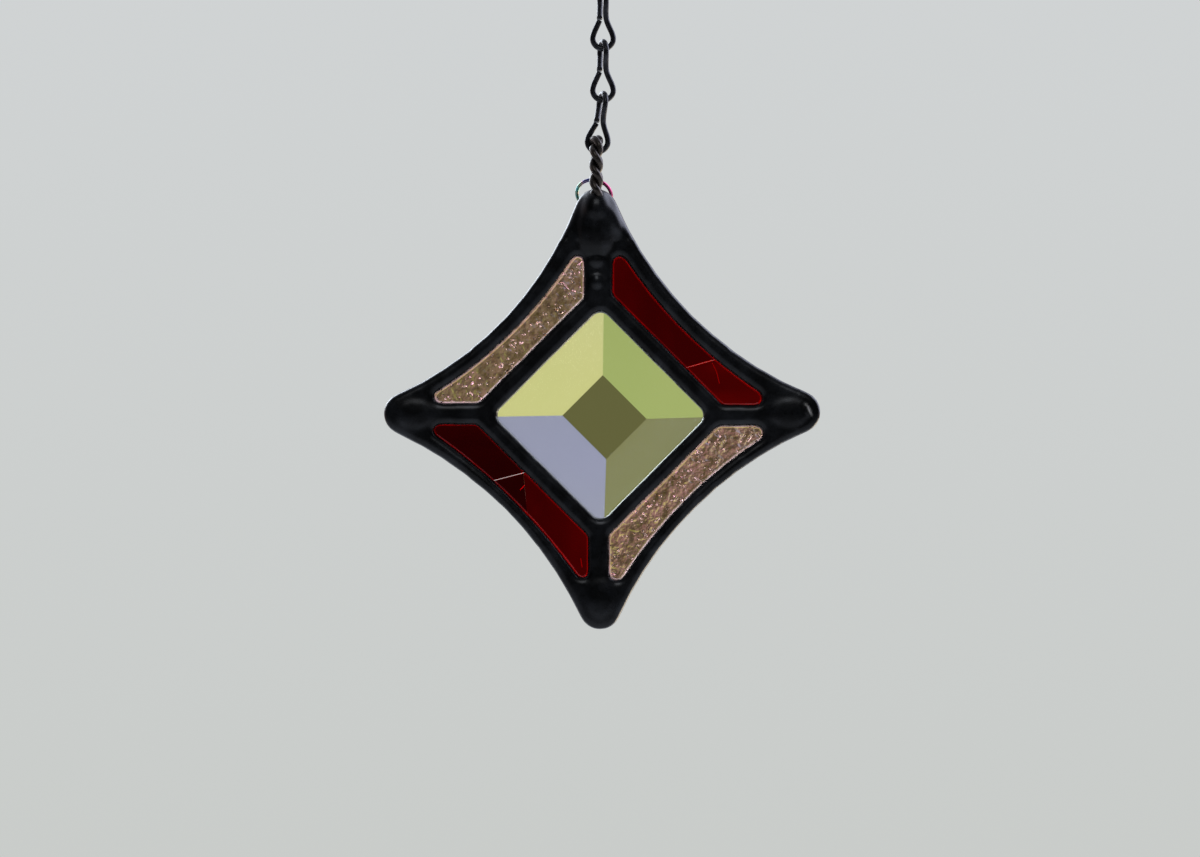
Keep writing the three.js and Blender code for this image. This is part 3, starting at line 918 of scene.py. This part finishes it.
class SUNCATCHER_OT_chain_links(Operator):
    """Bends one figure-eight link and hangs a copy of it in each packed link's place."""

    bl_idname = "suncatcher.chain_links"
    bl_label = "Chain Links"

    def execute(self, context):
        settings = context.scene.suncatcher_wire
        # Steel wire, blackened and oiled: smooth, with the bender's faint marks.
        material, tree, shader = new_material(
            "blackened_steel_chain_wire", Metallic=0.6, Roughness=0.34)
        place = add_node(tree, "ShaderNodeTexCoord")
        clouds = add_node(tree, "ShaderNodeTexNoise", {"Vector": place.outputs["Object"]},
                          Scale=1 / (0.9 * MM), Detail=4.0, Roughness=0.55)
        tone = add_node(tree, "ShaderNodeValToRGB", {"Fac": clouds.outputs["Fac"]},
                        ((0.45, settings.black), (0.75, linear("#3a3b3f"))))
        tree.links.new(tone.outputs["Color"], shader.inputs["Base Color"])
        bump = add_node(tree, "ShaderNodeBump", {"Height": clouds.outputs["Fac"]},
                        Strength=0.25, Distance=0.05 * MM)
        tree.links.new(bump.outputs["Normal"], shader.inputs["Normal"])
        wire = settings.link
        pattern = smooth(tube("pattern", smooth_route(link_route(wire), 6), wire / 2, sides=14))
        half = (LINK_LENGTH - wire) / 2
        lean = math.asin(LOWEST_SWING / (2 * half))
        for index, node in enumerate(LINKS):
            link = bpy.data.objects.new("black_" + node, pattern.data.copy())
            context.scene.collection.objects.link(link)
            # The origin is the inside of the top link's upper eye, where the whole part hangs.
            link.location.z = wire / 2 - half - index * (2 * half - wire - LINK_ROOM)
            if node == LINKS[-1]:
                link.rotation_euler.y = lean
                link.location.x = -math.sin(lean) * (half - wire / 2)
            finish_piece(settle(link), material, [node])
        bpy.data.objects.remove(pattern)
        return {"FINISHED"}


# ---- Stage ------------------------------------------------------------------------------

# The lights: name, place, size, power and colour.
LIGHTS = (
    ("window_light", (-0.7, 1.05, 0.45), (0.8, 0.8), 14, "#dfe8f2"),
    ("front_fill", (0.0, -1.2, 0.75), (0.7, 0.5), 4, "#f0f2f6"),
    ("sky_light", (1.1, 0.45, 0.45), (1.3, 1.3), 30, "#ccd0e6"),
    ("low_card", (0.6, 0.5, -0.5), (0.6, 0.4), 5, "#efdcbc"),
)
# The room that the glass and the solder see, built up from blends: each one's name, the part of a
# line of sight that it goes by, where the first tone ends and where the second is reached, and
# those two, a colour or an earlier blend. "aside" is how far the line strays from straight back.
WALLS = (
    ("above", "right", -0.08, 0.08, "#888659", "#9f9fbe"),
    ("below", "right", -0.08, 0.08, "#b0bb74", "#dcd894"),
    ("corners", "up", -0.08, 0.08, "below", "above"),
    # Straight behind the strips: olive up on the left, dusty pink down on the right, and shade
    # behind the two red ones.
    ("high side", "right", -0.02, 0.02, "#8a7f66", "#6c6256"),
    ("low side", "right", -0.02, 0.02, "#6c6256", "#a0887f"),
    ("strips", "up", -0.02, 0.02, "low side", "high side"),
    ("surround", "aside", 0.048, 0.075, "strips", "corners"),
    ("behind", "aside", 0.013, 0.019, "#6d6a43", "surround"),
    ("walls", "up", -0.5, 0.6, "#c9a89c", "#cfd2e2"),
    ("room", "aside", 0.125, 0.17, "behind", "walls"),
    # Dark in front, as nothing bright stands before the panel.
    ("all round", "back", -0.6, 0.2, "#16171a", "room"),
    # What the camera sees instead.
    ("backdrop", "up", -0.3, 0.3, "#c6c9c5", "#d3d6d8"),
)


def softbox(name, place, size, power, colour):
    """A soft light aimed at the panel."""
    light = bpy.data.lights.new(name, "AREA")
    light.shape = "RECTANGLE"
    light.size, light.size_y = size
    light.energy = power
    light.color = linear(colour)[:3]
    lamp = bpy.data.objects.new(name, light)
    bpy.context.scene.collection.objects.link(lamp)
    lamp.location = place
    lamp.rotation_euler = (PANEL - Vector(place)).to_track_quat("-Z", "Y").to_euler()


def studio_world():
    """A pale backdrop to the camera, and a room of gently tinted walls to the glass and solder."""
    world = bpy.data.worlds.new("studio")
    world.use_nodes = True
    tree = world.node_tree
    tree.nodes.clear()
    place = add_node(tree, "ShaderNodeTexCoord")
    way = add_node(tree, "ShaderNodeSeparateXYZ", {"Vector": place.outputs["Generated"]})
    flat = add_node(tree, "ShaderNodeCombineXYZ", {"X": way.outputs["X"], "Y": way.outputs["Z"]})
    aside = add_node(tree, "ShaderNodeVectorMath", {0: flat.outputs[0]}, operation="LENGTH")
    parts = {"right": way.outputs["X"], "back": way.outputs["Y"], "up": way.outputs["Z"],
             "aside": aside.outputs["Value"]}
    tones = {}
    for name, part, low, high, *pair in WALLS:
        share = add_node(tree, "ShaderNodeMapRange", {"Value": parts[part]},
                         interpolation_type="SMOOTHSTEP", From_Min=low, From_Max=high)
        first, second = (tones[tone] if tone in tones else linear(tone) for tone in pair)
        blend = add_node(tree, "ShaderNodeMix",
                         {"Factor": share.outputs["Result"], COLOUR_A: first, COLOUR_B: second},
                         data_type="RGBA")
        tones[name] = blend.outputs[BLENDED]
    path = add_node(tree, "ShaderNodeLightPath")
    seen = add_node(tree, "ShaderNodeMix",
                    {"Factor": path.outputs["Is Camera Ray"], COLOUR_A: tones["all round"],
                     COLOUR_B: tones["backdrop"]}, data_type="RGBA")
    surface = add_node(tree, "ShaderNodeBackground", {"Color": seen.outputs[BLENDED]}, Strength=1.0)
    add_node(tree, "ShaderNodeOutputWorld", {"Surface": surface.outputs[0]})
    return world


class SUNCATCHER_OT_stage(Operator):
    """Sets a pale floor below, soft lights round the object and the camera in front."""

    bl_idname = "suncatcher.stage"
    bl_label = "Stage"

    def execute(self, context):
        settings = context.scene.suncatcher_stage
        scene = context.scene
        scene.view_settings.view_transform = "Standard"
        floor = new_primitive("floor", bpy.ops.mesh.primitive_circle_add, vertices=96, radius=3.5,
                              fill_type="NGON", location=(0, 0, -0.6))
        material, tree, shader = new_material(
            "matt_pale_floor", Base_Color=settings.floor, Roughness=0.9)
        # The floor thins out to nothing at its rim, so no edge of it shows.
        place = add_node(tree, "ShaderNodeTexCoord")
        reach = add_node(tree, "ShaderNodeVectorMath", {0: place.outputs["Object"]},
                         operation="LENGTH")
        fade = add_node(tree, "ShaderNodeMapRange", {"Value": reach.outputs["Value"]},
                        interpolation_type="SMOOTHSTEP", From_Min=1.5, From_Max=3.3)
        clear = add_node(tree, "ShaderNodeBsdfTransparent")
        blend = add_node(tree, "ShaderNodeMixShader",
                         {0: fade.outputs["Result"], 1: shader.outputs[0], 2: clear.outputs[0]})
        output = next(n for n in tree.nodes if n.type == "OUTPUT_MATERIAL")
        tree.links.new(blend.outputs[0], output.inputs["Surface"])
        floor.data.materials.append(material)
        scene.world = studio_world()
        for light in LIGHTS:
            softbox(*light)
        camera = bpy.data.cameras.new("camera")
        camera.lens = settings.lens
        camera.clip_start, camera.clip_end = 0.01, 50
        eye = bpy.data.objects.new("camera", camera)
        scene.collection.objects.link(eye)
        eye.location = on_panel(-0.1, -3.05) - Vector((0, settings.distance, 0))
        eye.rotation_euler = (math.radians(90), 0, 0)
        scene.camera = eye
        return {"FINISHED"}


# ---- Add-on -----------------------------------------------------------------------------

STEPS = (
    SUNCATCHER_OT_solder_net,
    SUNCATCHER_OT_bevelled_square,
    SUNCATCHER_OT_seedy_strips,
    SUNCATCHER_OT_ruby_strips,
    SUNCATCHER_OT_twisted_hairpin,
    SUNCATCHER_OT_thin_ring,
    SUNCATCHER_OT_chain_links,
    SUNCATCHER_OT_stage,
)


class SUNCATCHER_PT_steps(Panel):
    """Lists the steps that dress the suncatcher."""

    bl_label = "Suncatcher"
    bl_idname = "SUNCATCHER_PT_steps"
    bl_space_type = "VIEW_3D"
    bl_region_type = "UI"
    bl_category = "Suncatcher"

    def draw(self, context):
        for step in STEPS:
            self.layout.operator(step.bl_idname)


SETTINGS = {
    "suncatcher_solder": SolderSettings,
    "suncatcher_glass": GlassSettings,
    "suncatcher_wire": WireSettings,
    "suncatcher_stage": StageSettings,
}


def register():
    for kind in (*SETTINGS.values(), *STEPS, SUNCATCHER_PT_steps):
        bpy.utils.register_class(kind)
    for name, kind in SETTINGS.items():
        setattr(bpy.types.Scene, name, PointerProperty(type=kind))


def unregister():
    for name in SETTINGS:
        delattr(bpy.types.Scene, name)
    for kind in (SUNCATCHER_PT_steps, *reversed(STEPS), *reversed(SETTINGS.values())):
        bpy.utils.unregister_class(kind)


def main():
    register()
    for step in STEPS:
        group, name = step.bl_idname.split(".")
        getattr(getattr(bpy.ops, group), name)()


if __name__ == "__main__":
    main()
